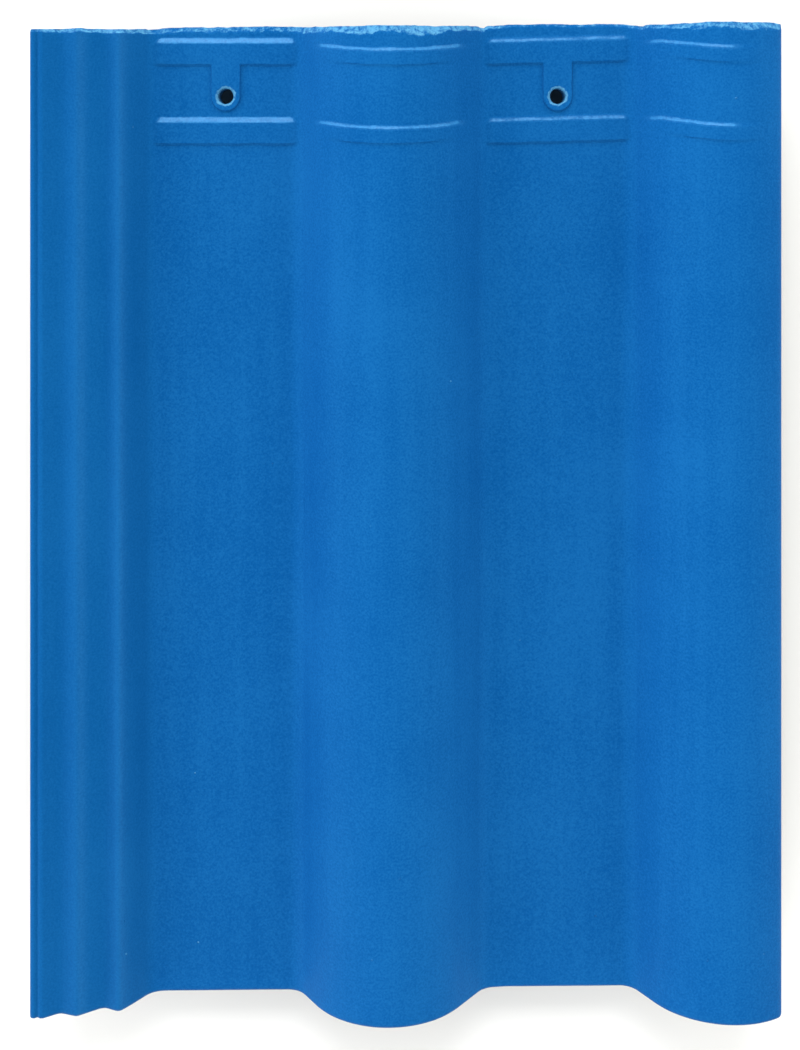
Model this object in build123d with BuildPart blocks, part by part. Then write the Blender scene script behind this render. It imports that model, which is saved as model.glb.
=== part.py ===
"""Interlocking concrete roof tile with two flat pans and two rolls, lying on its four claws.

X runs across the tile from its under-lock to its over-lock, Y from tail to head and Z up.
The origin is on the floor under the middle of the tile. All sizes are in millimetres.
"""

import os
from math import asin, cos, degrees, radians, sin, sqrt, tan

from build123d import *

os.makedirs("parts", exist_ok=True)

# Plan of the tile
tile_length = 435.0
cover_width = 300.0  # from one tile to the next in the same course
side_lap = 30.0  # the strip of the over-lock that lies on the next tile
lock_width = 50.6  # from the under-lock's edge to the foot of its flank

# Cross section
shell_thickness = 11.0
roll_height = 28.5  # crown over pan
crown_radius = 40.0
foot_radius = 9.0  # where a flank runs out into a pan
left_flank_angle = 55.0
right_flank_angle = 50.0

# Under-lock: heights over the pan, places from the left edge
edge_rib_height = 19.2
edge_rib_width = 5.8
edge_thickness = 9.5
edge_notch_place = 3.2
edge_notch_width = 2.4
edge_notch_depth = 0.9
outer_channel_place = 12.5
outer_channel_height = 15.2
middle_rib_place = 20.2
middle_rib_height = 17.8
inner_channel_place = 31.0
inner_channel_height = 11.2
inner_rib_height = 14.6
lock_thickness = 8.5  # under the inner channel
channel_radius = 4.0
rib_radius = 2.5
edge_rib_radius = 1.2
notch_radius = 0.5
lock_clearance = 0.8  # over the next tile's under-lock
lip_radius = 5.5  # outer corner of the over-lock
side_radius = 1.5  # corners of the under-lock's edge

# Weather bars near the head, measured down from the head
bar_start = 5.1
bar_run = 13.0
bar_spacing = 35.8
bar_height = 1.0
bar_head_slope = 2.6  # run of the flank that faces the head
bar_tail_slope = 1.2
bar_inset = 2.8  # from the corner of a pan to the end of its bar
bar_end_slope = 3.0
bar_root = 2.0  # how far every bar is sunk below the surface it stands on
roll_bar_start = 7.9
roll_bar_spacing = 33.9
roll_bar_run = 9.6
roll_bar_height = 0.8
roll_bar_reach = 30.0  # from the crown to where the bar runs out
roll_bar_bury = 3.0  # degrees that it turns on below the surface

# Nail holes, each in a tab that hangs from the upper pan bar
hole_radius = 3.4
hole_from_head = 31.5
hole_rim = 1.0
tab_radius = 6.9
tab_draft = 30.0

# Claws under the pans
claw_depth = 12.0
claw_width = 42.0
claw_length = 14.0
claw_draft = 8.0
claw_root = 2.0  # how far a claw is sunk into the pan
rear_claw_from_head = 3.0
front_claw_from_tail = 80.0

# End edges
head_break = 2.4
tail_break = 1.0

# Levels and edges that follow from the sizes above
left_edge = -(cover_width + side_lap) / 2
right_edge = left_edge + cover_width + side_lap
head = tile_length / 2
tail = -tile_length / 2
pan_under = claw_depth
pan_top = pan_under + shell_thickness
crown_top = pan_top + roll_height
roll_pitch = cover_width / 2
left_flank = radians(left_flank_angle)
right_flank = radians(right_flank_angle)


def flank_reach(flank, radius):
    """From the crown out to the corner where the line of a flank meets the pan."""
    return (radius + (roll_height - radius) * cos(flank)) / sin(flank)


def roll_corners(crown, level, radius):
    """Left foot, apex and right foot of a roll, with the crown arc still unrounded."""
    left_foot = crown - flank_reach(left_flank, radius)
    right_foot = crown + flank_reach(right_flank, radius)
    apex_height = (right_foot - left_foot) / (1 / tan(left_flank) + 1 / tan(right_flank))
    apex = left_foot + apex_height / tan(left_flank)
    return [(left_foot, level), (apex, level + apex_height), (right_foot, level)]


def lock_corners(edge, level, side_gap=0.0):
    """Under-lock from its outer edge, over its ribs and channels, to the foot of its flank."""
    foot = edge + lock_width
    return [
        (edge - side_gap, level + edge_rib_height),
        (edge + edge_notch_place - edge_notch_width / 2, level + edge_rib_height),
        (edge + edge_notch_place, level + edge_rib_height - edge_notch_depth),
        (edge + edge_notch_place + edge_notch_width / 2, level + edge_rib_height),
        (edge + edge_rib_width, level + edge_rib_height),
        (edge + outer_channel_place, level + outer_channel_height),
        (edge + middle_rib_place, level + middle_rib_height),
        (edge + inner_channel_place, level + inner_channel_height),
        (foot - inner_rib_height / tan(right_flank), level + inner_rib_height),
        (foot, level),
    ]


lock_radii = [
    notch_radius,
    notch_radius,
    notch_radius,
    edge_rib_radius,
    channel_radius,
    rib_radius,
    channel_radius,
    rib_radius,
]
roll_radii = [foot_radius, crown_radius, foot_radius]
under_foot_radius = foot_radius + shell_thickness
under_roll_radii = [under_foot_radius, crown_radius - shell_thickness, under_foot_radius]

# The flank of the under-lock carries on the right flank of the roll that covers it
first_crown = left_edge + lock_width + roll_pitch - flank_reach(right_flank, crown_radius)
crowns = [first_crown, first_crown + roll_pitch]
top_lock = lock_corners(left_edge, pan_top)
top_rolls = [roll_corners(crown, pan_top, crown_radius) for crown in crowns]
under_rolls = [roll_corners(crown, pan_under, crown_radius - shell_thickness) for crown in crowns]
under_lock = [
    (left_edge, pan_top + edge_rib_height - edge_thickness),
    (left_edge + inner_channel_place, pan_top + inner_channel_height - lock_thickness),
    (top_lock[-1][0] - shell_thickness * tan(right_flank / 2), pan_under),
]

# Each pan lies between the foot of one flank and the foot of the next
pan_lefts = [top_lock[-1][0], top_rolls[0][2][0]]
pan_rights = [top_rolls[0][0][0], top_rolls[1][0][0]]
pan_middles = [(left + right) / 2 for left, right in zip(pan_lefts, pan_rights)]
hole_y = head - hole_from_head


def raised_outline(upper, lower, level, height, upper_slope, lower_slope):
    """Closed outline of a raised strip: a slope at each end, a flat between them and a sunken base."""
    sunk = bar_root / height
    return [
        (upper + sunk * upper_slope, level - bar_root),
        (upper - upper_slope, level + height),
        (lower + lower_slope, level + height),
        (lower - sunk * lower_slope, level - bar_root),
    ]


def bar_outline(start, run, level, height):
    """A bar from the side: a long slope to the head and a short one to the tail."""
    upper = head - start
    return raised_outline(upper, upper - run, level, height, bar_head_slope, bar_tail_slope)


# A roll bar is turned about a hub that makes it fade into the roll at its reach
roll_bar_drop = crown_radius - sqrt(crown_radius**2 - roll_bar_reach**2) + roll_bar_height
roll_bar_radius = (roll_bar_reach**2 + roll_bar_drop**2) / (2 * roll_bar_drop)
roll_bar_hub = crown_top + roll_bar_height - roll_bar_radius
roll_bar_turn = asin(roll_bar_reach / roll_bar_radius) + radians(roll_bar_bury)


with BuildPart() as roof_tile:
    # The shell: two pans and two rolls of even thickness, with the under-lock on the left
    with BuildSketch(Plane.XZ.offset(-head)) as section:
        with BuildLine():
            top = FilletPolyline(
                *top_lock,
                *top_rolls[0],
                *top_rolls[1],
                radius=[*lock_radii, foot_radius, *roll_radii, foot_radius, crown_radius],
            )
            under = FilletPolyline(
                *under_lock,
                *under_rolls[0],
                *under_rolls[1],
                radius=[channel_radius, under_foot_radius, *under_roll_radii, *under_roll_radii[:2]],
            )
            Line(top @ 0, under @ 0)
            Line(top @ 1, under @ 1)
        make_face()
        # The second roll stops at the right edge, and the next tile's under-lock fits beneath it
        split(bisect_by=Plane.YZ.offset(right_edge), keep=Keep.BOTTOM)
        next_edge = left_edge + cover_width
        next_lock = lock_corners(next_edge, pan_top + lock_clearance, lock_clearance)
        with BuildLine():
            lock_line = FilletPolyline(*next_lock, radius=lock_radii)
            Polyline(lock_line @ 0, (next_edge - lock_clearance, 0), (next_lock[-1][0], 0), lock_line @ 1)
        make_face(mode=Mode.SUBTRACT)
        right_corners = section.vertices().group_by(Axis.X)[-1].sort_by(Axis.Y)
        fillet(right_corners[-1], radius=lip_radius)
        left_corners = section.vertices().group_by(Axis.X)[0]
        fillet(left_corners, radius=side_radius)
    extrude(amount=tile_length)

    # Two weather bars across each pan, and two shorter ones that run out over each roll
    for row in range(2):
        pan_bar = bar_outline(bar_start + row * bar_spacing, bar_run, pan_top, bar_height)
        for left, right in zip(pan_lefts, pan_rights):
            ends = (right - bar_inset, left + bar_inset)
            bar_front = raised_outline(*ends, pan_top, bar_height, bar_end_slope, bar_end_slope)
            with BuildPart(mode=Mode.PRIVATE) as strip:
                with BuildSketch(Plane.YZ.offset(left)):
                    with BuildLine():
                        Polyline(*pan_bar, close=True)
                    make_face()
                extrude(amount=right - left)
                with BuildSketch(Plane.XZ.offset(-head)):
                    with BuildLine():
                        Polyline(*bar_front, close=True)
                    make_face()
                extrude(amount=tile_length, mode=Mode.INTERSECT)
            add(strip.part)
        roll_bar_top = roll_bar_start + row * roll_bar_spacing
        roll_bar_base = roll_bar_radius - roll_bar_height
        roll_bar = bar_outline(roll_bar_top, roll_bar_run, roll_bar_base, roll_bar_height)
        for crown in crowns:
            # It is buried where it runs out, and stops short at the rounded edge of the over-lock
            edge_reach = right_edge - lip_radius - crown
            right_turn = min(roll_bar_turn, asin(min(edge_reach / roll_bar_radius, 1)))
            across = (cos(roll_bar_turn), 0, sin(roll_bar_turn))
            with BuildSketch(Plane((crown, 0, roll_bar_hub), x_dir=(0, 1, 0), z_dir=across)):
                with BuildLine():
                    Polyline(*roll_bar, close=True)
                make_face()
            hub_axis = Axis((crown, 0, roll_bar_hub), (0, 1, 0))
            revolve(axis=hub_axis, revolution_arc=degrees(roll_bar_turn + right_turn))

    # A tab hangs from the upper bar of each pan and takes the nail hole
    tab_top = head - bar_start - bar_head_slope - tab_radius
    for middle in pan_middles:
        with BuildSketch(Plane.XY.offset(pan_top)):
            with Locations((middle, (tab_top + hole_y) / 2)):
                SlotCenterToCenter(tab_top - hole_y, 2 * tab_radius, rotation=90)
        extrude(amount=bar_height, taper=tab_draft)

    # Claws under both pans: the rear pair hooks over a batten, the front pair over the tile below
    rear_y = head - rear_claw_from_head - claw_length / 2
    front_y = tail + front_claw_from_tail + claw_length / 2
    for middle in pan_middles:
        for claw_y in (rear_y, front_y):
            with BuildSketch(Plane.XY):
                with Locations((middle, claw_y)):
                    Rectangle(claw_width, claw_length)
            extrude(amount=claw_depth + claw_root, taper=-claw_draft)

    # Nail holes, with the rim broken away
    with Locations([(middle, hole_y, pan_top + bar_height) for middle in pan_middles]):
        CounterSinkHole(hole_radius, hole_radius + hole_rim, counter_sink_angle=90)

    # The head and tail edges are broken by what lies over the shell, sheared down beyond each end
    over = crown_top + roll_height
    outside = left_edge - side_lap
    for outward, edge_break in ((1, head_break), (-1, tail_break)):
        with BuildSketch(Plane.XZ.offset(-outward * (head - edge_break))):
            with BuildLine():
                add(top)
                Polyline(top @ 0, (outside, (top @ 0).Y), (outside, over), ((top @ 1).X, over), top @ 1)
            make_face()
        extrude(amount=2 * edge_break, dir=(0, outward, -1), mode=Mode.SUBTRACT)

roof_tile.part.label = "roof_tile"
export_step(roof_tile.part, "parts/roof_tile.step")
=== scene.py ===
# %% [markdown]
# # A coated concrete roof tile
# The object is one piece of pressed concrete with a coat of blue paint. From left to right it has
# an under-lock with three ribs, a flat pan, a round roll, a second pan and a second roll, whose right
# edge covers the under-lock of the next tile. It lies on the four claws under its pans.
# The solid model gives the sizes. It is exact but clean, so this script sets a finer skin of the same
# size in its place: one with a rough cut head, worn bars and rims, highlights painted onto the bars and
# rims, and a coat that thins at the edges.

# %% Frame
from math import atan2, ceil, cos, exp, hypot, radians, sin, sqrt, tan

import bmesh
import bpy
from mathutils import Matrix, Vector, noise
from mathutils.bvhtree import BVHTree


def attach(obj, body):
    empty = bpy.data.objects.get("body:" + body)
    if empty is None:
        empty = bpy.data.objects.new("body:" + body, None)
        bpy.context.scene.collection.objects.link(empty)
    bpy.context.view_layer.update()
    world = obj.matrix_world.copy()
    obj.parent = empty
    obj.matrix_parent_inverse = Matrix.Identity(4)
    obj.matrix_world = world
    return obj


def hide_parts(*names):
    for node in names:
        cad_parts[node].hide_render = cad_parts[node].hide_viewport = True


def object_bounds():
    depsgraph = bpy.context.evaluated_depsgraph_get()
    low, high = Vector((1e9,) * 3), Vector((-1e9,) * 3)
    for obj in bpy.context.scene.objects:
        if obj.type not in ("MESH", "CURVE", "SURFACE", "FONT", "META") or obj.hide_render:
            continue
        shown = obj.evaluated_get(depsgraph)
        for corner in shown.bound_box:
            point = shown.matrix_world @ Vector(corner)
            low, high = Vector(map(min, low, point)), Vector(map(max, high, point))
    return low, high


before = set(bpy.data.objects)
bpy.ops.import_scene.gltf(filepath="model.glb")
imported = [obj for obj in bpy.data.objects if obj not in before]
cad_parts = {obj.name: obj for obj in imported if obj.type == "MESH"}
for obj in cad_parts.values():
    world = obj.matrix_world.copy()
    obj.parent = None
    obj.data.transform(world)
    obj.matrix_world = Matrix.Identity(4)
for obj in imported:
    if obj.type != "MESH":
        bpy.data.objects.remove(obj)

cad_low, cad_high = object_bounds()
print("solid model reaches from", cad_low[:], "to", cad_high[:])

# %% [markdown]
# ## The sizes that drive the section
# A tile like this is pressed through a die, so one section runs from tail to head. Every place in the
# section follows from a few sizes: the thickness of the shell, the height and radius of a roll, the
# slope of its flanks, and the ribs of the under-lock. They are written once, in millimetres, and
# turned into metres here. The outer edges are read from the frame.

# %% Section sizes
MM = 0.001
left_edge, tail, floor_level = cad_low
right_edge, head, bar_crown = cad_high
cover_width = 300 * MM  # from one tile to the next in the same course
lock_width = 50.6 * MM  # from the left edge to the foot of the under-lock's flank
shell_thickness = 11 * MM
claw_depth = 12 * MM
roll_height = 28.5 * MM
crown_radius = 40 * MM
foot_radius = 9 * MM
left_flank = radians(55)
right_flank = radians(50)
lock_clearance = 0.8 * MM
lip_radius = 5.5 * MM
side_radius = 1.5 * MM
edge_thickness = 9.5 * MM
lock_thickness = 8.5 * MM
inner_rib_height = 14.6 * MM
inner_rib_place = lock_width - inner_rib_height / tan(right_flank)

# Place from the left edge, height over the pan and rounding of each corner of the under-lock
lock_profile = [
    (2.0 * MM, 19.2 * MM, 0.5 * MM),
    (3.2 * MM, 18.3 * MM, 0.5 * MM),
    (4.4 * MM, 19.2 * MM, 0.5 * MM),
    (5.8 * MM, 19.2 * MM, 1.2 * MM),
    (12.5 * MM, 15.2 * MM, 4.0 * MM),
    (20.2 * MM, 17.8 * MM, 2.5 * MM),
    (31.0 * MM, 11.2 * MM, 4.0 * MM),
    (inner_rib_place, inner_rib_height, 2.5 * MM),
]
edge_rib_height = lock_profile[0][1]
channel_place, channel_height, channel_radius = lock_profile[6]

pan_under = floor_level + claw_depth
pan_top = pan_under + shell_thickness
crown_top = pan_top + roll_height
roll_pitch = cover_width / 2
roll_centre = crown_top - crown_radius


def flank_reach(flank, radius):
    """From the crown out to the corner where the line of a flank meets the pan."""
    return (radius + (roll_height - radius) * cos(flank)) / sin(flank)


def roll_corners(crown, level, radius, foot):
    """Left foot, apex and right foot of a roll as (x, z, rounding)."""
    left_foot = crown - flank_reach(left_flank, radius)
    right_foot = crown + flank_reach(right_flank, radius)
    rise = (right_foot - left_foot) / (1 / tan(left_flank) + 1 / tan(right_flank))
    apex = left_foot + rise / tan(left_flank)
    return [(left_foot, level, foot), (apex, level + rise, radius), (right_foot, level, foot)]


first_crown = left_edge + lock_width + roll_pitch - flank_reach(right_flank, crown_radius)
crowns = [first_crown, first_crown + roll_pitch]
pan_left = left_edge + lock_width
first_roll, second_roll = [roll_corners(c, pan_top, crown_radius, foot_radius) for c in crowns]
pan_middles = [(pan_left + first_roll[0][0]) / 2, (first_roll[2][0] + second_roll[0][0]) / 2]
print("crowns at", crowns, "and pans about", pan_middles)

# %% [markdown]
# ## Drawing the section with a pen
# A section is straight runs and arcs. One way is to work out every point in Python. It is simpler to
# let the mesh operators draw: a single vertex is extruded for a straight run and spun about a centre
# for an arc, so each arc is a true arc and its steps are as fine as wanted.

# %% Section pen
class SectionPen:
    """Draws a wire in the plane of the head: straight runs are extruded and arcs are spun."""

    def __init__(self, bm, x, z):
        self.bm = bm
        self.tip = bm.verts.new((x, head, z))

    def run(self, x, z, step):
        """A straight run in even pieces no longer than step."""
        way = Vector((x, head, z)) - self.tip.co
        pieces = max(1, ceil(way.length / step))
        for _ in range(pieces):
            self.tip = bmesh.ops.extrude_vert_indiv(self.bm, verts=[self.tip])["verts"][0]
            bmesh.ops.translate(self.bm, vec=way / pieces, verts=[self.tip])

    def arc(self, x, z, turn, step):
        """An arc about a centre. A positive turn goes to the left."""
        centre = Vector((x, head, z))
        steps = max(3, ceil(abs(turn) * (self.tip.co - centre).length / step))
        made = bmesh.ops.spin(
            self.bm,
            geom=[self.tip],
            cent=centre,
            axis=(0, -1, 0),
            angle=turn,
            steps=steps,
            use_merge=False,
        )
        self.tip = [part for part in made["geom_last"] if isinstance(part, bmesh.types.BMVert)][0]

    def follow(self, corners, run_step, arc_step):
        """Goes through corners of (x, z, rounding) and stops at the last one."""
        for (x, z, radius), (next_x, next_z, _) in zip(corners, corners[1:]):
            corner = Vector((x, z))
            into = (corner - Vector((self.tip.co.x, self.tip.co.z))).normalized()
            out = (Vector((next_x, next_z)) - corner).normalized()
            turn = atan2(into.x * out.y - into.y * out.x, into.dot(out))
            start = corner - into * radius * tan(abs(turn) / 2)
            self.run(start.x, start.y, run_step)
            if radius:
                side = radius if turn > 0 else -radius
                self.arc(start.x - into.y * side, start.y + into.x * side, turn, arc_step)
        self.run(corners[-1][0], corners[-1][1], run_step)


print("the pen starts in the plane of the head, at y =", head)

# %% [markdown]
# ## The top line
# The top line needs columns where a feature will be shaped later. Around each nail hole it gets a set
# of stops at the hole, the rim and the tab, so the same rings can be found again in both directions.

# %% Top line
hole_radius = 3.4 * MM
hole_rim = 1.0 * MM
tab_radius = 6.9 * MM
bar_height = 1.0 * MM
tab_draft = radians(30)
tab_top_radius = tab_radius - bar_height * tan(tab_draft)
ring_reach = 9.0 * MM  # the mesh is round about a hole as far as this
ring_stops = [0.0, hole_radius, hole_radius + hole_rim, tab_top_radius, tab_radius, ring_reach]
fine_step = 1.25 * MM
bore_step = hole_radius / 6
step_slack = 1e-6  # so that rounding doesn't add a step to a stretch of whole steps


def stations(stops, step):
    """All the stops, with even steps between them."""
    places = [stops[0]]
    for start, end in zip(stops, stops[1:]):
        pieces = max(1, ceil((end - start) / step - step_slack))
        places += [start + (end - start) * (i + 1) / pieces for i in range(pieces)]
    return places


def about(middle, stops):
    """Places at the stops on both sides of a middle, from low to high."""
    return sorted({middle - s for s in stops} | {middle + s for s in stops})


hole_columns = stations(ring_stops, bore_step)
tile = bmesh.new()
share = tile.verts.layers.float.new("share")  # 1 on the top line, 0 on the underside
pen = SectionPen(tile, left_edge, pan_top + edge_rib_height - edge_thickness / 2)
top_corners = [(left_edge, pan_top + edge_rib_height, side_radius)]
top_corners += [(left_edge + place, pan_top + height, radius) for place, height, radius in lock_profile]
top_corners += [(pan_left, pan_top, foot_radius)]
top_corners += [(x, pan_top, 0) for x in about(pan_middles[0], hole_columns)]
top_corners += first_roll
top_corners += [(x, pan_top, 0) for x in about(pan_middles[1], hole_columns)]
top_corners += [second_roll[0]]
crown_start = radians(90) + left_flank
second_crown = crowns[1]
top_corners += [
    (second_crown + crown_radius * cos(crown_start), roll_centre + crown_radius * sin(crown_start), 0)
]
pen.follow(top_corners, fine_step, fine_step)
# The crown of the second roll runs into the rounded lip of the over-lock
lip_x = right_edge - lip_radius
lip_z = roll_centre + sqrt((crown_radius - lip_radius) ** 2 - (lip_x - second_crown) ** 2)
lip_turn = atan2(lip_z - roll_centre, lip_x - second_crown)
pen.arc(second_crown, roll_centre, lip_turn - crown_start, fine_step)
pen.arc(lip_x, lip_z, -lip_turn, fine_step)
top_count = len(tile.verts)
for vert in tile.verts:
    vert[share] = 1.0
print("top line has", top_count, "points")

# %% [markdown]
# ## The underside line
# The underside follows the top at the thickness of the shell. At the right it carries the mirror of an
# under-lock, with a little clearance, because the next tile's ribs fit there. The claws will be pulled
# down out of the flat undersides of the pans, so these get columns at the walls of the claws.

# %% Underside line
claw_width = 42 * MM
claw_length = 14 * MM
claw_draft = radians(8)
claw_flare = claw_depth * tan(claw_draft)  # how much wider a claw is at its root, on each side
claw_round = 2.0 * MM
round_column = 0.4  # place of the column within a rounding
under_step = 7 * MM
under_arc_step = 3 * MM
weld_distance = 0.001 * MM
under_crown_radius = crown_radius - shell_thickness
under_foot_radius = foot_radius + shell_thickness


def claw_stops(half_size):
    """Distances from the middle of a claw where its wall starts, turns and meets its flat foot."""
    return [half_size - claw_round, half_size - round_column * claw_round, half_size, half_size + claw_flare]


def pan_columns(middle):
    """Underside columns of a pan, for its bore and its claws, from right to left."""
    bore = stations(ring_stops[:2], bore_step) + ring_stops[2:]
    return about(middle, bore + claw_stops(claw_width / 2))[::-1]


next_edge = left_edge + cover_width
lock_level = pan_top + lock_clearance
next_lock = [(next_edge + place, lock_level + height, radius) for place, height, radius in lock_profile]
rib_x, rib_z, _ = next_lock[5]
slope = (next_lock[6][1] - rib_z) / (next_lock[6][0] - rib_x)
edge_z = rib_z + slope * (right_edge - rib_x)
wall_x = next_edge - lock_clearance
wall_turn = atan2(sqrt(under_crown_radius**2 - (wall_x - second_crown) ** 2), wall_x - second_crown)
wall_z = roll_centre + under_crown_radius * sin(wall_turn)
pen.follow([(right_edge, edge_z, 0)] * 2, under_step, under_arc_step)
over_lock = next_lock[5::-1]
over_lock += [(wall_x, lock_level + edge_rib_height, 0), (wall_x, wall_z, 0)]
pen.follow(over_lock, under_step, under_arc_step)
pen.arc(second_crown, roll_centre, crown_start - wall_turn, under_arc_step)

under_first, under_second = [
    roll_corners(c, pan_under, under_crown_radius, under_foot_radius) for c in crowns
]
lock_foot = pan_left - shell_thickness * tan(right_flank / 2)
under_corners = [under_second[0]]
under_corners += [(x, pan_under, 0) for x in pan_columns(pan_middles[1])]
under_corners += under_first[::-1]
under_corners += [(x, pan_under, 0) for x in pan_columns(pan_middles[0])]
under_corners += [
    (lock_foot, pan_under, under_foot_radius),
    (left_edge + channel_place, pan_top + channel_height - lock_thickness, channel_radius),
    (left_edge, pan_top + edge_rib_height - edge_thickness, side_radius),
    (left_edge, pan_top + edge_rib_height - edge_thickness / 2, 0),
]
pen.follow(under_corners, under_step, under_arc_step)
for vert in tile.verts[top_count:]:
    vert[share] = 0.0
bmesh.ops.remove_doubles(tile, verts=tile.verts[:], dist=weld_distance)
print("whole section has", len(tile.verts), "points and", len(tile.edges), "edges")

# %% [markdown]
# ## Sides of the section
# Later moves, such as breaking the head's edge, are full on the top and nothing on the underside. On
# the two outer sides they have to fade from one to the other, so the sides get shares in between.

# %% Side shares
side_low = pan_top + edge_rib_height - edge_thickness
side_high = pan_top + edge_rib_height
lip_high = roll_centre + crown_radius * sin(lip_turn)


def between(value, start, end):
    """0 at start, 1 at end, straight in between and level beyond."""
    return min(1.0, max(0.0, (value - start) / (end - start)))


def ease(t):
    """Rounds the two ends of a rise from 0 to 1."""
    return t * t * (3 - 2 * t)


for vert in tile.verts:
    if vert.co.x < left_edge + side_radius:
        vert[share] = between(vert.co.z, side_low, side_high)
    elif vert[share] > 0.5 and vert.co.x > lip_x:
        vert[share] = between(vert.co.z, edge_z, lip_high)
print("side points", sum(0 < vert[share] < 1 for vert in tile.verts))

# %% [markdown]
# ## Running the section from head to tail
# The closed wire is extruded row by row towards the tail. Rows are close together near the head, where
# the bars, the nail holes and the rough rim are, and far apart along the plain body. A row lies exactly
# on each edge of a bar and of a claw, so these edges come out clean.

# %% Rows
bar_start = 5.1 * MM  # from the head down to the first bar across a pan
bar_run = 13.0 * MM
bar_spacing = 35.8 * MM
bar_head_slope = 2.6 * MM
bar_tail_slope = 1.2 * MM
roll_bar_start = 7.9 * MM
roll_bar_run = 9.6 * MM
roll_bar_spacing = 33.9 * MM
roll_bar_height = bar_crown - crown_top
hole_from_head = 31.5 * MM
head_break = 2.4 * MM
tail_break = 1.0 * MM
tile_length = head - tail
rear_claw = 10 * MM  # from the head to the middle of a rear claw
claw_from_tail = 87 * MM  # from the tail to the middle of a front claw
front_claw = tile_length - claw_from_tail
head_zone = 60 * MM
tail_zone_depth = 12 * MM
tail_zone = tile_length - tail_zone_depth
edge_row = 0.4 * MM  # the first row below the head's edge
closest_rows = 0.12 * MM  # a stop that lies closer than this to the last one is left out
head_row_step = 0.8 * MM
body_row_step = 9 * MM
tail_rows_mm = (6, 3, 1.6, 1.0, 0.6, 0.3, 0.1, 0)  # from the tail, closer and closer to its edge
pan_bars = [(bar_start + row * bar_spacing, bar_run) for row in range(2)]
roll_bars = [(roll_bar_start + row * roll_bar_spacing, roll_bar_run) for row in range(2)]


def bar_edges(start, run):
    """Distances from the head where a bar's two slopes begin and end."""
    return [start, start + bar_head_slope, start + run - bar_tail_slope, start + run]


head_stops = {0.0, edge_row, head_break, head_zone}
for bar in pan_bars + roll_bars:
    head_stops |= set(bar_edges(*bar))
head_stops |= set(about(hole_from_head, hole_columns))
head_stops |= set(about(rear_claw, claw_stops(claw_length / 2)))
merged_stops = []
for stop in sorted(head_stops):
    if not merged_stops or stop - merged_stops[-1] > closest_rows:
        merged_stops.append(stop)
body_stops = [head_zone, *about(front_claw, claw_stops(claw_length / 2)), tail_zone]
rows = stations(merged_stops, head_row_step)
rows += stations(body_stops, body_row_step)[1:]
rows += [tile_length - from_tail * MM for from_tail in tail_rows_mm]

head_ring = tile.edges[:]
ring = head_ring
for near, far in zip(rows, rows[1:]):
    made = bmesh.ops.extrude_edge_only(tile, edges=ring)["geom"]
    fresh = {part for part in made if isinstance(part, bmesh.types.BMVert)}
    edges = [part for part in made if isinstance(part, bmesh.types.BMEdge)]
    ring = [edge for edge in edges if edge.verts[0] in fresh and edge.verts[1] in fresh]
    bmesh.ops.translate(tile, vec=(0, near - far, 0), verts=list(fresh))
tail_ring = ring
print(len(rows), "rows make", len(tile.faces), "faces")

# %% [markdown]
# ## The two ends
# Each end is one face over the whole section. It is sliced by upright and level planes into small
# cells, so that the cut can be roughened and the coat can thin out over it.

# %% End faces
cell_size = 4.5 * MM
plane_snap = 0.02 * MM


def fill_end(edges):
    """Closes an end and slices its face into cells."""
    cells = bmesh.ops.edgeloop_fill(tile, edges=edges)["faces"]
    planes = [((1, 0, 0), x) for x in stations([left_edge, right_edge], cell_size)[1:-1]]
    planes += [((0, 0, 1), z) for z in stations([pan_under, crown_top], cell_size)[1:-1]]
    for normal, place in planes:
        parts = set(cells)
        parts |= {edge for face in cells for edge in face.edges}
        parts |= {vert for face in cells for vert in face.verts}
        cut = bmesh.ops.bisect_plane(
            tile, geom=list(parts), dist=plane_snap, plane_co=Vector(normal) * place, plane_no=normal
        )
        cells = [part for part in cut["geom"] if isinstance(part, bmesh.types.BMFace)]
    return cells


for end in (head_ring, tail_ring):
    print("end face has", len(fill_end(end)), "cells")
bmesh.ops.recalc_face_normals(tile, faces=tile.faces[:])

# %% [markdown]
# ## Nail holes
# A boolean cut would leave slivers in so fine a mesh. Instead a square patch is taken out of the top
# and one out of the underside, the two edges are bridged to make the bore, and then every square ring
# of the mesh about the hole is drawn into a circle. Below the hole the circles reach out to the round
# end of the tab. Above it they stop sooner, because the tab's sides are straight there.

# %% Nail holes
hole_y = head - hole_from_head
bore_rows = 4


def near_hole(place, middle, reach):
    """Whether a place lies in the square of a reach about a hole."""
    return abs(place.x - middle) < reach and abs(place.y - hole_y) < reach


for middle in pan_middles:
    patch = [f for f in tile.faces if near_hole(f.calc_center_median(), middle, hole_radius)]
    bmesh.ops.delete(tile, geom=patch, context="FACES")
    rim = [e for e in tile.edges if e.is_boundary and near_hole(e.verts[0].co, middle, ring_reach)]
    wall = bmesh.ops.bridge_loops(tile, edges=rim)
    upright = [e for e in wall["edges"] if abs(e.verts[0].co.z - e.verts[1].co.z) > shell_thickness / 2]
    bmesh.ops.subdivide_edges(tile, edges=upright, cuts=bore_rows)
    for vert in tile.verts:
        if near_hole(vert.co, middle, ring_reach):
            across, along = vert.co.x - middle, vert.co.y - hole_y
            size = max(abs(across), abs(along))
            if size > hole_radius / 2:
                outer = ring_reach if along < 0 else tab_radius
                inner = tab_radius if along < 0 else hole_radius + hole_rim
                roundness = ease(between(size, outer, inner))
                scale = 1 + roundness * (size / hypot(across, along) - 1)
                vert.co.x = middle + across * scale
                vert.co.y = hole_y + along * scale
    print("nail hole at", middle, "has", len(rim) // 2, "sides")

# %% [markdown]
# ## Claws
# The rear claws hook over a roof batten and the front ones over the tile below. They are pulled down
# out of the underside's own mesh, so tile and claws stay one closed piece.

# %% Claws
round_share = 0.12  # share of a claw's depth that its rounded edge takes
flat_slack = 0.01 * MM  # a point this close to the pan's underside belongs to it


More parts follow.
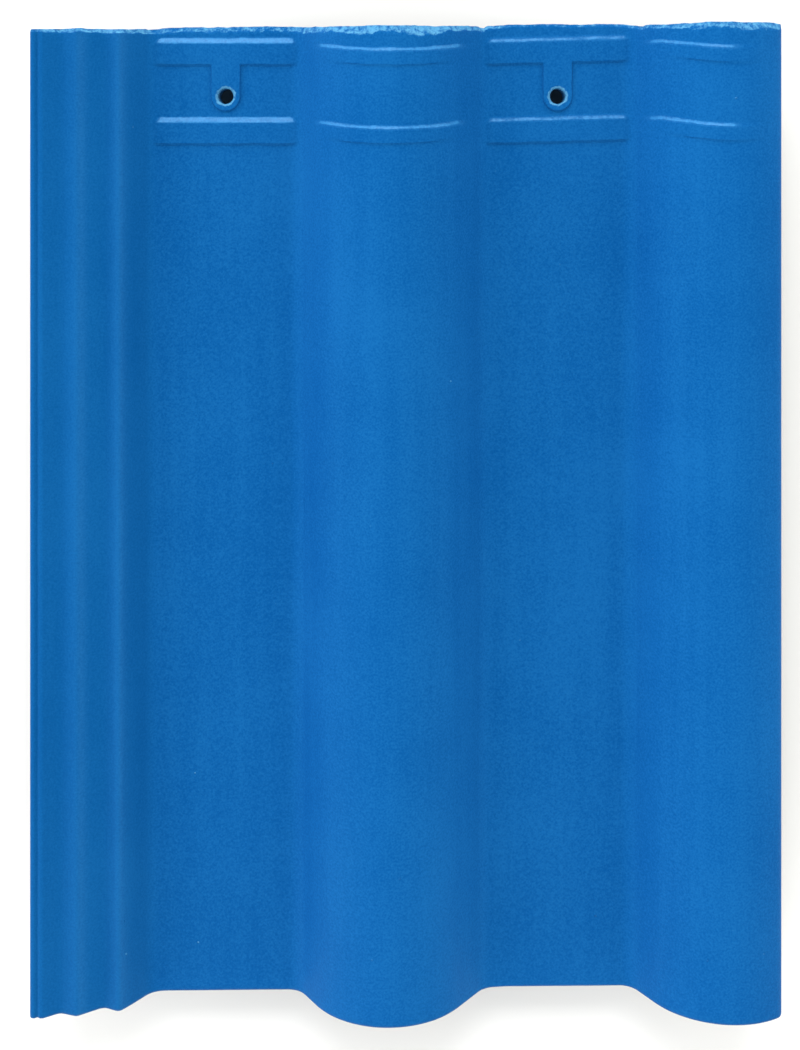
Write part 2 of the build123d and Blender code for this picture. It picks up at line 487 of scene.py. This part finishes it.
def claw_drop(distance, half_size):
    """How far down the underside goes at a distance from the middle of a claw, as a share."""
    wall = between(distance, half_size + claw_flare, half_size)
    corner = between(distance, half_size, half_size - claw_round)
    return (1 - round_share) * wall + round_share * (1 - (1 - corner) ** 2)


for vert in tile.verts:
    if vert[share] == 0 and abs(vert.co.z - pan_under) < flat_slack:
        for middle in pan_middles:
            for claw in (rear_claw, front_claw):
                side_drop = claw_drop(abs(vert.co.x - middle), claw_width / 2)
                end_drop = claw_drop(abs(vert.co.y - head + claw), claw_length / 2)
                vert.co.z -= claw_depth * min(side_drop, end_drop)
print("lowest point", min(vert.co.z for vert in tile.verts))

# %% [markdown]
# ## Weather bars
# The weather bars near the head keep driven rain out. On a pan a bar is a low flat strip with a long
# slope to the head and a short one to the tail, and its ends run out into the feet of the rolls. A
# bar over a roll follows the roll. Before anything is lifted, a few functions say how much of a bar
# there is at a place. They give shares from 0 to 1, because shares are easy to multiply.

# %% Bar shares
bar_inset = -0.5 * MM  # a bar runs this far past the corner of its pan, into the foot of the roll
bar_end_slope = 2.0 * MM
pan_sides = [(pan_left, first_roll[0][0]), (first_roll[2][0], second_roll[0][0])]


def bar_share(from_head, start, run):
    """0 off a bar, 1 on its flat."""
    first, flat, flat_end, last = bar_edges(start, run)
    return min(between(from_head, first, flat), between(from_head, last, flat_end))


def pan_reach(x):
    """How far a place lies inside the nearest corner of a pan, negative outside."""
    return max(min(x - left, right - x) for left, right in pan_sides)


def end_share(x):
    """1 along a pan's bar, 0 beyond its ends."""
    return ease(between(pan_reach(x), bar_inset, bar_inset + bar_end_slope))


print("pans reach from side to side at", pan_sides)

# %% [markdown]
# ## Painted highlights
# The slopes of the bars that face the head catch the light, and so do the crests of two ribs of the
# under-lock. They show as thin bright lines. Light alone draws them too softly on so matt a coat, so
# the mesh carries a value with which the material paints these highlights in a brighter blue. It is
# set while the top is still plain, because the columns of the mesh are straight then.

# %% Painted highlights
slope_blur = 0.4 * MM
shine_inset = 3.0 * MM  # the painted highlight on a slope ends this far before the corner of its pan
bar_flare = 1.5 * MM  # and reaches this much further where the slope meets the flat
pan_shine = [(1.0, 1.0), (0.72, 0.6)]  # how much of a slope gets a painted highlight on each pan, and how strongly
roll_shine = [(-34 * MM, 35 * MM), (-37 * MM, 3 * MM)]  # where a bar gets a painted highlight on each roll, from its crown
roll_shine_part = 0.6
roll_shine_strength = 0.74
shine_fade = 5 * MM
crest_shine = 0.3
crest_width = 2.4 * MM
# The painted highlights of the middle rib and the inner rib lie a little to the right of their tops
rib_crests = [left_edge + lock_profile[5][0] + 1.6 * MM, left_edge + lock_profile[7][0] + 0.6 * MM]


def slope_share(from_head, start, run, part):
    """1 on the last part of a bar's slope that faces the head, 0 elsewhere."""
    first, flat, _, _ = bar_edges(start, run)
    first = flat - part * (flat - first)
    upper = between(from_head, first - slope_blur, first + slope_blur)
    return ease(min(upper, between(from_head, flat + slope_blur, flat - slope_blur)))


def crest_sheen(x):
    """Painted highlight along the crests of the ribs."""
    return crest_shine * max(exp(-(((x - crest) / crest_width) ** 2)) for crest in rib_crests)


def pan_sheen(x, from_head):
    """Painted highlight on the bars across the pans."""
    part, strength = pan_shine[x > crowns[0]]
    shines = []
    for bar in pan_bars:
        shine_end = shine_inset - bar_flare * bar_share(from_head, *bar)
        shine_length = between(pan_reach(x), shine_end, shine_end + fine_step)
        shines.append(strength * shine_length * slope_share(from_head, *bar, part))
    return max(shines)


def roll_sheen(x, from_head):
    """Painted highlight on the bars over the rolls."""
    spans = [0.0]
    for crown, (left, right) in zip(crowns, roll_shine):
        left_share = between(x, crown + left, crown + left + shine_fade)
        spans.append(min(left_share, between(x, crown + right, crown + right - shine_fade)))
    slope = max(slope_share(from_head, *bar, roll_shine_part) for bar in roll_bars)
    return roll_shine_strength * max(spans) * slope


painted_sheen = tile.verts.layers.float.new("painted_sheen")  # 1 where a highlight is painted into the coat's colour
for vert in tile.verts:
    x, from_head = vert.co.x, head - vert.co.y
    if vert[share] >= 0.5:
        vert[painted_sheen] = crest_sheen(x)
        if from_head <= head_zone:
            vert[painted_sheen] = max(vert[painted_sheen], pan_sheen(x, from_head), roll_sheen(x, from_head))
print("points that shine:", sum(vert[painted_sheen] > 0.5 for vert in tile.verts))

# %% [markdown]
# ## Lifting the bars and tabs
# A tab hangs from the first bar of each pan and carries the nail hole. A bar over a roll is turned
# about a hub a little above the roll's own centre, so it fades out at both ends. Bars and tabs only
# lift points of the top that lie lower than they do, so they run into the flanks without a seam.

# %% Bars and tabs
roll_bar_reach = 30 * MM  # from the crown to where a roll's bar runs out
drop_at_reach = crown_radius - sqrt(crown_radius**2 - roll_bar_reach**2) + roll_bar_height
roll_bar_radius = (roll_bar_reach**2 + drop_at_reach**2) / (2 * drop_at_reach)
roll_bar_hub = crown_top + roll_bar_height - roll_bar_radius
bar_fade = 22 * MM  # the second roll's bars run out over this length before the lip
tab_top = head - bar_start - bar_head_slope - tab_radius


def tab_share(x, y):
    """0 off the tabs, 1 on the flat of one."""
    reach = min(hypot(x - middle, y - min(max(y, hole_y), tab_top)) for middle in pan_middles)
    return ease(between(reach, tab_radius, tab_top_radius))


def lift_on_pan(x, y, z):
    """Height of a point of the top with the bars and tabs of the pans on it."""
    off_bars = 1 - tab_share(x, y)
    for bar in pan_bars:
        off_bars *= 1 - end_share(x) * bar_share(head - y, *bar)
    return max(z, pan_top + bar_height * (1 - off_bars)) if off_bars < 1 else z


def lift_on_roll(x, y, z):
    """Place in the section of a point of the top with the bars of the rolls on it."""
    lip_fade = between(x, lip_x, lip_x - bar_fade)
    for bar in roll_bars:
        lift = bar_share(head - y, *bar) ** 2 * lip_fade
        for crown in crowns:
            out, up = x - crown, z - roll_bar_hub
            if lift and abs(out) < roll_bar_reach:
                scale = (roll_bar_radius - roll_bar_height * (1 - lift)) / hypot(out, up)
                if scale > 1:
                    x, z = crown + out * scale, roll_bar_hub + up * scale
    return x, z


for vert in tile.verts:
    x, y, z = vert.co
    if vert[share] >= 0.5 and head - y <= head_zone:
        x, z = lift_on_roll(x, y, lift_on_pan(x, y, z))
        vert.co = x, y, z
print("highest point", max(vert.co.z for vert in tile.verts))

# %% [markdown]
# ## The outline of the cut ends
# Head and tail are cut while the concrete is soft. The tile isn't quite square, its ends are a little
# wavy, and the head's edge is crumbly. This could be sculpted by hand. Here a short list gives the
# outline at a few places across the tile, and noise adds the crumbs. The noise depends only on the
# place, so each run gives the same tile.

# %% Cut ends
slant = 0.0085  # the tile's right side lies a little further to the head
head_waves = [(16 * MM, 0.4 * MM), (5 * MM, 0.25 * MM), (1.8 * MM, 0.2 * MM)]  # size of lumps, height
# Place across the tile, half width and depth of each nick in the head
nicks = [(35 * MM, 1.4 * MM, 1.0 * MM), (106 * MM, 1.4 * MM, 1.1 * MM), (163.6 * MM, 1.4 * MM, 0.8 * MM)]

# Place across the tile, and there: how far the head and the tail reach beyond their true lines,
# the width of the head's broken rim and how pale it is, from rubbed paint and a painted highlight
edge_stops = [
    (-165 * MM, -1.4 * MM, 1.2 * MM, 2.2 * MM, 0.6),
    (-122 * MM, -0.8 * MM, 1.4 * MM, 2.8 * MM, 0.8),
    (-108 * MM, 0.5 * MM, 0.6 * MM, 2.4 * MM, 0.6),
    (-52 * MM, 0.9 * MM, 0.6 * MM, 2.6 * MM, 0.65),
    (-34 * MM, -1.4 * MM, 1.0 * MM, 3.2 * MM, 0.75),
    (14 * MM, -1.9 * MM, 1.0 * MM, 3.6 * MM, 0.8),
    (36 * MM, 0.2 * MM, 0.5 * MM, 2.0 * MM, 0.7),
    (46 * MM, 0.5 * MM, 0.0 * MM, 1.1 * MM, 0.5),
    (98 * MM, 0.4 * MM, 0.0 * MM, 1.3 * MM, 0.5),
    (116 * MM, -1.4 * MM, 1.0 * MM, 2.8 * MM, 0.7),
    (165 * MM, -1.7 * MM, 1.4 * MM, 3.0 * MM, 0.75),
]


def edge_at(x):
    """Head reach, tail reach, rim width and paleness at a place, read between the stops."""
    for stop, next_stop in zip(edge_stops, edge_stops[1:]):
        if x <= next_stop[0] or next_stop is edge_stops[-1]:
            t = between(x, stop[0], next_stop[0])
            return [a + t * (b - a) for a, b in zip(stop[1:], next_stop[1:])]


def wander(x, y, z, waves):
    """A sum of smooth noises, each given as (size of its lumps, height)."""
    total = 0.0
    for number, (size, height) in enumerate(waves):
        total += height * noise.noise(Vector((x, y, z)) / size + Vector((7.3, 1.9, 4.7)) * number)
    return total


def head_cut(x, z):
    """Wandering and nicks of the cut head at a place on the end face."""
    cut = wander(x, 0, z, head_waves)
    for nick, width, depth in nicks:
        cut -= depth * exp(-(((x - nick) / width) ** 2))
    return cut


print("the head's outline has", len(edge_stops), "stops and", len(nicks), "nicks")

# %% [markdown]
# ## The broken rim of the head
# Below the cut the top falls away in a narrow broken rim with crumbs in it. The coat is rubbed pale
# there and bare at the very edge, and the paleness also stands for a highlight painted where the rim
# faces the light. The mesh carries two more values for this: how much paint covers a place, and how
# pale it is, from wear and painted highlight.

# %% Broken rim
rim_zone = 7 * MM  # the head's outline reaches this far into the tile
rim_drop = 0.75  # how steeply the broken rim falls towards the cut
rim_bareness = 0.6
rim_waves = [(13 * MM, 0.35), (3 * MM, 0.3)]  # size of lumps, share of the rim's width
crumb_waves = [(2.2 * MM, 0.35 * MM), (1.0 * MM, 0.2 * MM)]
coat = tile.verts.layers.float.new("coat")  # 1 where the paint covers, 0 on bare concrete
worn_and_highlight = tile.verts.layers.float.new("worn_and_highlight")  # 1 where the paint is pale: rubbed, and partly a painted highlight


def break_rim(vert, x, y, z):
    """Moves a point out to the head's outline and down onto the broken rim."""
    from_head = head - y
    head_reach, _, width, pale = edge_at(x)
    outline = head_cut(x, z) + head_reach + slant * x
    vert.co.y += outline * ease(between(from_head, rim_zone, 0))
    width *= 1 + wander(x, 0, 0, rim_waves)
    fall = rim_drop * max(0.0, width - from_head)
    crumbs = wander(x, y, z, crumb_waves) * ease(between(from_head, 1.4 * width, 0.6 * width))
    vert.co.z -= vert[share] * (fall + crumbs)
    # Pale rim: rubbed paint, and partly a painted highlight
    vert[worn_and_highlight] = vert[share] * pale * ease(between(from_head, 1.2 * width, 0.8 * width))
    bare_edge = pale * (1 - between(from_head, 0, 0.5 * width))
    vert[coat] -= rim_bareness * vert[share] * bare_edge


print("the broken rim is", [stop[3] for stop in edge_stops], "wide")

# %% [markdown]
# ## Crooked bars and chipped holes
# The bars aren't quite straight: they wobble, they slant a little on the second pan, and over a roll
# they bend towards the tail. The rims of the nail holes are chipped. The bars stay true close to a
# hole and fade back to the true lines further down, so that nothing tears.

# %% Bars and holes
second_slant = 0.018  # the bars of the second pan slant a little more
second_lift = 0.4 * MM  # and lie closer to the head
roll_bar_sag = 2.7 * MM  # the bars over the rolls bend this far towards the tail at the crown
bar_zone = 55 * MM  # below this the bars' shifts fade out, down to the end of the head zone
bar_waves = [(9 * MM, 0.25 * MM), (2.5 * MM, 0.15 * MM)]
bar_wave_squeeze = 3  # the wobble changes this much faster along the tile than across it
chip_waves = [(2.5 * MM, 0.3), (1.1 * MM, 0.3)]  # size of lumps, share of the rim
bore_coat = 0.9
bore_skin = 0.1 * MM  # a point this close to a hole's radius is on the wall of the bore


def hole_distance(x, y):
    """From the axis of the nearer nail hole."""
    return min(hypot(x - middle, y - hole_y) for middle in pan_middles)


def bend_bars(vert, x, y):
    """Lets the bars wobble and slant, and sag over the rolls."""
    from_head = head - y
    free = ease(between(hole_distance(x, y), tab_radius, ring_reach))
    free *= ease(between(from_head, head_zone, bar_zone)) * ease(between(from_head, 0, rim_zone))
    shift = slant * max(0, x) + wander(x, bar_wave_squeeze * y, 0, bar_waves)
    across = x - pan_middles[1]
    second_pan = ease(between(abs(across), roll_pitch / 2, roll_pitch / 4))
    shift += (second_lift + second_slant * across) * second_pan
    sag = max(1 - ((x - crown) / roll_bar_reach) ** 2 for crown in crowns)
    shift -= roll_bar_sag * max(0.0, sag)
    vert.co.y += vert[share] * free * shift


def chip_hole(vert, x, y):
    """Breaks the rim of a nail hole and makes it pale: rubbed, and partly a painted highlight."""
    reach = hole_distance(x, y)
    if reach < hole_radius + 2 * hole_rim and vert[share] > 0:
        chip = hole_rim * (1 + wander(x, y, 0, chip_waves))
        vert.co.z -= vert[share] * max(0.0, hole_radius + chip - reach)
        pale_ring = between(reach, hole_radius + 1.7 * chip, hole_radius + 0.9 * chip)
        # Pale ring: rubbed paint, and partly a painted highlight
        vert[worn_and_highlight] = max(vert[worn_and_highlight], pale_ring)
    if reach < hole_radius + bore_skin:
        vert[coat] = bore_coat


print("bars sag by", roll_bar_sag, "over the rolls")

# %% [markdown]
# ## Roughening the whole skin
# Now every point is moved once. Each function takes the place that the point had before, so none of
# them sees what another has done. The tail's edge is broken more finely than the head's, and the whole
# top is a little uneven. The tail's face is painted, but on the cut head the paint thins out downwards.

# %% Rough skin
skin_waves = [(46 * MM, 0.16 * MM), (14 * MM, 0.05 * MM)]
skin_stretch = 0.6  # the unevenness is drawn out along the tile
tail_break_run = 1.6 * tail_break
top_from = 0.02  # a point with a larger share than this belongs to the painted top
head_face_coat = 0.2  # paint at the lower edge of the cut head
head_face_rise = 0.6  # and how much more there is at its upper edge
for vert in tile.verts:
    x, y, z = vert.co
    from_head, from_tail = head - y, y - tail
    vert[coat] = 1.0 if vert[share] > top_from else 0.0
    if from_head < head_zone:
        break_rim(vert, x, y, z)
        bend_bars(vert, x, y)
        chip_hole(vert, x, y)
    if from_head == 0:
        vert[coat] = head_face_coat + head_face_rise * vert[share]
    tail_reach = edge_at(x)[1]
    vert.co.y += (slant * x - tail_reach) * ease(between(from_tail, tail_zone_depth, 0))
    vert.co.z -= vert[share] * tail_break * (1 - ease(between(from_tail, 0, tail_break_run))) ** 2
    vert.co.z += vert[share] * wander(x, skin_stretch * y, 0, skin_waves)
tile.normal_update()
print("after roughening", len(tile.faces), "faces")

# %% [markdown]
# ## Pimples in the coat
# A few sand grains stick out of the paint. Each is a small ball sunk a little more than half into the
# surface, where a ray from above meets it. The places are those that show, with some more scattered
# about.

# %% Pimples
pimple_height = 0.8  # a pimple is flatter than a ball
pimple_sink = 0.2  # share of its radius that its middle lies below the skin
# Place across and along the tile, and radius, in millimetres
pimples = [
    (-124.5, -180.5, 0.55), (-124.0, -195.5, 0.5), (-93.5, -196.5, 0.45), (-2.4, -153.5, 0.5),
    (-14.5, -189.0, 0.45), (86.0, -184.5, 0.55), (143.0, 184.0, 0.5), (131.0, -190.0, 0.4),
    (-121.5, 172.0, 0.45), (155.5, -187.0, 0.4), (52.0, -60.0, 0.35), (-60.0, 20.0, 0.35),
    (20.0, 60.0, 0.35), (110.0, -20.0, 0.35), (-95.0, -120.0, 0.35), (70.0, 110.0, 0.3),
]
surface = BVHTree.FromBMesh(tile)
for x, y, radius in pimples:
    hit, outward, _, _ = surface.ray_cast(Vector((x * MM, y * MM, 1)), Vector((0, 0, -1)))
    ball = bmesh.ops.create_icosphere(tile, subdivisions=2, radius=radius * MM)["verts"]
    bmesh.ops.scale(tile, vec=(1, 1, pimple_height), verts=ball)
    bmesh.ops.translate(tile, vec=hit - outward * pimple_sink * radius * MM, verts=ball)
    for vert in ball:
        vert[coat] = 1.0
        vert[worn_and_highlight] = 0.6
print(len(pimples), "pimples")

# %% [markdown]
# ## One finished piece
# The mesh becomes one object at the origin. Faces are shaded smooth, and edges that turn sharply are
# marked, so that bars and rims keep their lines. The object rides on the tile's only body and stands
# for the solid, which stays hidden.

# %% Finished piece
sharp_turn = radians(33)
for face in tile.faces:
    face.smooth = True
for edge in tile.edges:
    edge.smooth = len(edge.link_faces) == 2 and edge.calc_face_angle() < sharp_turn
tile_mesh = bpy.data.meshes.new("coated_tile")
tile.to_mesh(tile_mesh)
tile.free()
coated_tile = bpy.data.objects.new("coated_tile", tile_mesh)
bpy.context.scene.collection.objects.link(coated_tile)
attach(coated_tile, "root")
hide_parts("roof_tile")
triangles = sum(len(polygon.vertices) - 2 for polygon in tile_mesh.polygons)
print("coated tile has", triangles, "triangles")

# %% [markdown]
# ## Writing materials as sums
# A node tree is easier to read as arithmetic. A small class holds one socket. Adding or multiplying
# such sockets makes the Math nodes, and one method makes any other node.

# %% Socket class
class Wire:
    """One socket of a node tree. Arithmetic on it adds Math nodes to the tree."""

    def __init__(self, tree, socket=None):
        self.tree = tree
        self.socket = socket

    def node(self, kind, settings=None, sockets=None, out=0):
        """Any node: its settings first, then values or links for its sockets."""
        made = self.tree.nodes.new(kind)
        for name, value in (settings or {}).items():
            setattr(made, name, value)
        for name, value in (sockets or {}).items():
            if isinstance(value, Wire):
                self.tree.links.new(value.socket, made.inputs[name])
            else:
                made.inputs[name].default_value = value
        return Wire(self.tree, made.outputs[out])

    def math(self, operation, *values):
        return self.node("ShaderNodeMath", {"operation": operation}, dict(enumerate(values)))

    def __add__(self, other):
        return self.math("ADD", self, other)

    def __sub__(self, other):
        return self.math("SUBTRACT", self, other)

    def __rsub__(self, other):
        return self.math("SUBTRACT", other, self)

    def __mul__(self, other):
        return self.math("MULTIPLY", self, other)

    __radd__ = __add__
    __rmul__ = __mul__

    def rise(self, start, end):
        """Goes smoothly from 0 at start to 1 at end."""
        limits = {"Value": self, "From Min": start, "From Max": end}
        return self.node("ShaderNodeMapRange", {"interpolation_type": "SMOOTHSTEP"}, limits)

    def blend(self, first, second):
        """Mixes two colours, with this socket as the factor."""
        return self.node("ShaderNodeMix", {"data_type": "RGBA"}, {0: self, 6: first, 7: second}, out=2)

    def feed(self, shader, name):
        """Links this socket to an input of a shader."""
        self.tree.links.new(self.socket, shader.inputs[name])


print("sockets can be added, subtracted and multiplied")

# %% [markdown]
# ## Patterns of the finish
# The finish is a satin blue coat over sandy concrete. All that varies in it comes from a few noises in
# the object's own coordinates: soft clouds, streaks that the press draws along the tile, grains of sand
# and coarser specks. Round pores are for the bare concrete.

# %% Patterns
concrete_coat = bpy.data.materials.new("coated_concrete")
concrete_coat.use_nodes = True
coat_shader = concrete_coat.node_tree.nodes["Principled BSDF"]
paint = Wire(concrete_coat.node_tree)
spot = paint.node("ShaderNodeTexCoord", out="Object")


def lumps(size, detail=3, stretch=1.0):
    """Noise with lumps of a size in metres, drawn out along the tile by stretch."""
    scaled = paint.node("ShaderNodeMapping", None, {"Vector": spot, "Scale": (1, 1 / stretch, 1)})
    looks = {"Vector": scaled, "Scale": 1 / size, "Detail": detail}
    return paint.node("ShaderNodeTexNoise", None, looks)


def carried(name):
    """A value that the mesh carries at its points."""
    return paint.node("ShaderNodeAttribute", {"attribute_name": name}, out="Fac")


clouds = lumps(55 * MM)
streaks = lumps(6 * MM, stretch=22)
sand = lumps(0.9 * MM)
specks = lumps(2.6 * MM)
pores = paint.node("ShaderNodeTexVoronoi", None, {"Vector": spot, "Scale": 1 / (3 * MM)})
print("patterns take", len(concrete_coat.node_tree.nodes), "nodes")

# %% [markdown]
# ## The blue coat
# The coat's blue is nearly even, and a little greyer over the under-lock. Where the mesh carries shine
# a highlight is painted in a brighter blue, with a ragged edge and patches, because sand shows through.
# Where the mesh carries wear it is pale: rubbed paint, and on the rims partly a painted highlight.

# %% Blue coat
deep_blue = (0.0015, 0.065, 0.241, 1)
light_blue = (0.0056, 0.098, 0.305, 1)
lock_blue = (0.0022, 0.068, 0.205, 1)
highlight_blue = (0.030, 0.20, 0.48, 1)
pale_blue = (0.070, 0.25, 0.45, 1)
lock_edge = 4 * MM  # the greyer blue fades out over this length on each side of the lock's foot
lock_tint = 0.3
tone = 0.5 + 0.6 * (clouds - 0.5) + 0.3 * (streaks - 0.5) + 1.3 * (sand - 0.5)
blue = tone.rise(0.1, 0.9).blend(deep_blue, light_blue)
from_left = paint.node("ShaderNodeSeparateXYZ", None, {0: spot}, out="X") - left_edge
on_lock = from_left.rise(lock_width + lock_edge, lock_width - lock_edge)
blue = (lock_tint * on_lock).blend(blue, lock_blue)

# Painted highlight: the carried value mixes the blue towards a brighter blue, with a little clear coat
painted_glint = (carried("painted_sheen") + 0.6 * (specks - 0.5) + 0.5 * (streaks - 0.5)).rise(0.4, 0.62)
painted_shine = 0.5 * carried("painted_sheen") + 0.5 * painted_glint
patchy = 0.8 + 0.8 * (sand - 0.5) + 0.8 * (specks - 0.5)
# Pale where worn: rubbed paint, and on the rims partly a painted highlight
rubbed_and_highlight = (carried("worn_and_highlight") + 1.4 * (specks - 0.5) + 0.8 * (sand - 0.5)).rise(0.4, 1.0)
painted = rubbed_and_highlight.blend((patchy * painted_shine).blend(blue, highlight_blue), pale_blue)
print("with the blue coat", len(concrete_coat.node_tree.nodes), "nodes")

# %% [markdown]
# ## Bare concrete
# The underside isn't painted. It is grey, speckled and full of small pores. Near the painted top, as on
# the cut head, bare concrete is dusted with blue.

# %% Bare concrete
dark_cement = (0.10, 0.098, 0.094, 1)
light_cement = (0.19, 0.187, 0.18, 1)
pore_grey = (0.055, 0.054, 0.053, 1)
dusty_blue = (0.09, 0.22, 0.26, 1)
dusting = 0.7
cement = (0.5 + 1.2 * (specks - 0.5) + 0.8 * (clouds - 0.5)).rise(0, 1)
bare = cement.blend(dark_cement, light_cement)
bare = pores.rise(0.06, 0.2).blend(pore_grey, bare)
bare = (dusting * carried("share")).blend(bare, dusty_blue)
print("with bare concrete", len(concrete_coat.node_tree.nodes), "nodes")

# %% [markdown]
# ## Putting the finish together
# The value that the mesh carries for paint, made ragged by specks, chooses between coat and concrete.
# The same choice sets the roughness. Grain that is too fine to model goes into the bump.

# %% Finish
coated = (carried("coat") + 0.5 * (specks - 0.5)).rise(0.42, 0.58)
coated.blend(bare, painted).feed(coat_shader, "Base Color")
rough = 0.86 - 0.28 * coated + 0.12 * (clouds - 0.5) + 0.15 * rubbed_and_highlight
rough.feed(coat_shader, "Roughness")
(0.2 * painted_shine).feed(coat_shader, "Coat Weight")
grain = 0.5 * lumps(1.6 * MM, detail=2) + 0.35 * sand
skin = grain + (1 - coated) * (1.2 * specks + pores.rise(0, 0.25))
bump = paint.node("ShaderNodeBump", None, {"Strength": 0.6, "Distance": 0.25 * MM, "Height": skin})
bump.feed(coat_shader, "Normal")
coat_shader.inputs["Coat Roughness"].default_value = 0.3
coat_shader.inputs["Specular IOR Level"].default_value = 0.06
coat_shader.inputs["Specular Tint"].default_value = (0.1, 0.95, 1, 1)
tile_mesh.materials.append(concrete_coat)
print("the whole finish has", len(concrete_coat.node_tree.nodes), "nodes")

# %% [markdown]
# ## Floor
# The floor is plain and nearly white. So much light comes back from it that the nail holes would look
# grey, so a shadow is painted on it: a small dark spot below each of them. The tile hides both spots,
# apart from what shows through the holes.

# %% Floor
floor_half_size = 4.0
floor_white = (0.75, 0.75, 0.75, 1)
painted_hole_shadow = (0.012, 0.05, 0.1, 1)
shade_radius = 22 * MM
shade_edge = 10 * MM
floor_mesh = bpy.data.meshes.new("floor")
floor_bm = bmesh.new()
bmesh.ops.create_grid(floor_bm, x_segments=1, y_segments=1, size=floor_half_size)
floor_bm.to_mesh(floor_mesh)
floor_bm.free()
floor = bpy.data.objects.new("floor", floor_mesh)
bpy.context.scene.collection.objects.link(floor)
floor_paint = bpy.data.materials.new("pale_floor")
floor_paint.use_nodes = True
floor_shader = floor_paint.node_tree.nodes["Principled BSDF"]
ground = Wire(floor_paint.node_tree)
floor_spot = ground.node("ShaderNodeTexCoord", out="Object")
# Painted shadow: a dark spot on the floor under each nail hole
shade = 0
for middle in pan_middles:
    ends = {0: floor_spot, 1: (middle, hole_y, 0)}
    distance = ground.node("ShaderNodeVectorMath", {"operation": "DISTANCE"}, ends, out="Value")
    shade = shade + distance.rise(shade_radius, shade_radius - shade_edge)
shade.blend(floor_white, painted_hole_shadow).feed(floor_shader, "Base Color")
floor_shader.inputs["Roughness"].default_value = 0.9
floor_mesh.materials.append(floor_paint)
print("floor is", 2 * floor_half_size, "wide")

# %% [markdown]
# ## Studio light
# Light comes from a dome all round. It is brightest low down at the sides, which keeps the flanks of
# the rolls open, and weaker overhead and at the horizon. It is slightly stronger from the head and
# from the left, and slightly warmer from the right. This is one gradient in the world's own directions.

# %% Studio light
horizon_light = 0.9
side_light = 3.6
zenith_light = 0.85
head_bias = 0.1  # the studio is brighter towards the head
left_bias = 0.22  # and towards the left
cool_white = (1, 1, 1, 1)
warm_white = (1, 1, 0.94, 1)
world = bpy.data.worlds.new("studio")
world.use_nodes = True
bpy.context.scene.world = world
background = world.node_tree.nodes["Background"]
sky = Wire(world.node_tree)
toward = sky.node("ShaderNodeTexCoord", out="Generated")
right, forward, upward = [
    sky.node("ShaderNodeSeparateXYZ", None, {0: toward}, out=axis) for axis in "XYZ"
]
glow = horizon_light + (side_light - horizon_light) * upward.rise(0, 0.28)
glow = glow - (side_light - zenith_light) * upward.rise(0.24, 0.75)
glow = glow * (1 + head_bias * forward - left_bias * right)
glow.feed(background, "Strength")
right.rise(-1, 1).blend(cool_white, warm_white).feed(background, "Color")
bpy.context.scene.view_settings.view_transform = "Standard"
print("dome light from", zenith_light, "overhead to", side_light, "at the sides")

# %% [markdown]
# ## A softbox beyond the head
# One wide softbox stands well away from the tile, beyond its head. The slopes of the bars and the
# broken rim face it, so they stand out from the flat parts, helped by the highlights painted onto them.

# %% Head light
head_light_place = (-0.3, 5.8, 5.0)
head_light_width = 3.9
head_light_depth = 1.95
head_light_watts = 300
head_lamp = bpy.data.lights.new("head_light", "AREA")
head_lamp.shape = "RECTANGLE"
head_lamp.size, head_lamp.size_y = head_light_width, head_light_depth
head_lamp.energy = head_light_watts
head_light = bpy.data.objects.new("head_light", head_lamp)
head_light.location = head_light_place
head_light.rotation_euler = (-Vector(head_light_place)).to_track_quat("-Z", "Y").to_euler()
bpy.context.scene.collection.objects.link(head_light)
print("softbox at", head_light_place)

# %% [markdown]
# ## Camera
# The tile is seen from straight above its upper half. The lens is shifted towards the tail, so that
# the long edges stay parallel and the rolls still show their ends at the bottom of the picture.

# %% Camera
camera_place = (-2.3 * MM, 158.3 * MM, 670.0 * MM)
camera_data = bpy.data.cameras.new("camera")
camera_data.lens = 49.05
camera_data.shift_y = -0.35
camera = bpy.data.objects.new("camera", camera_data)
camera.location = camera_place
bpy.context.scene.collection.objects.link(camera)
bpy.context.scene.camera = camera
print("camera at", camera_place)
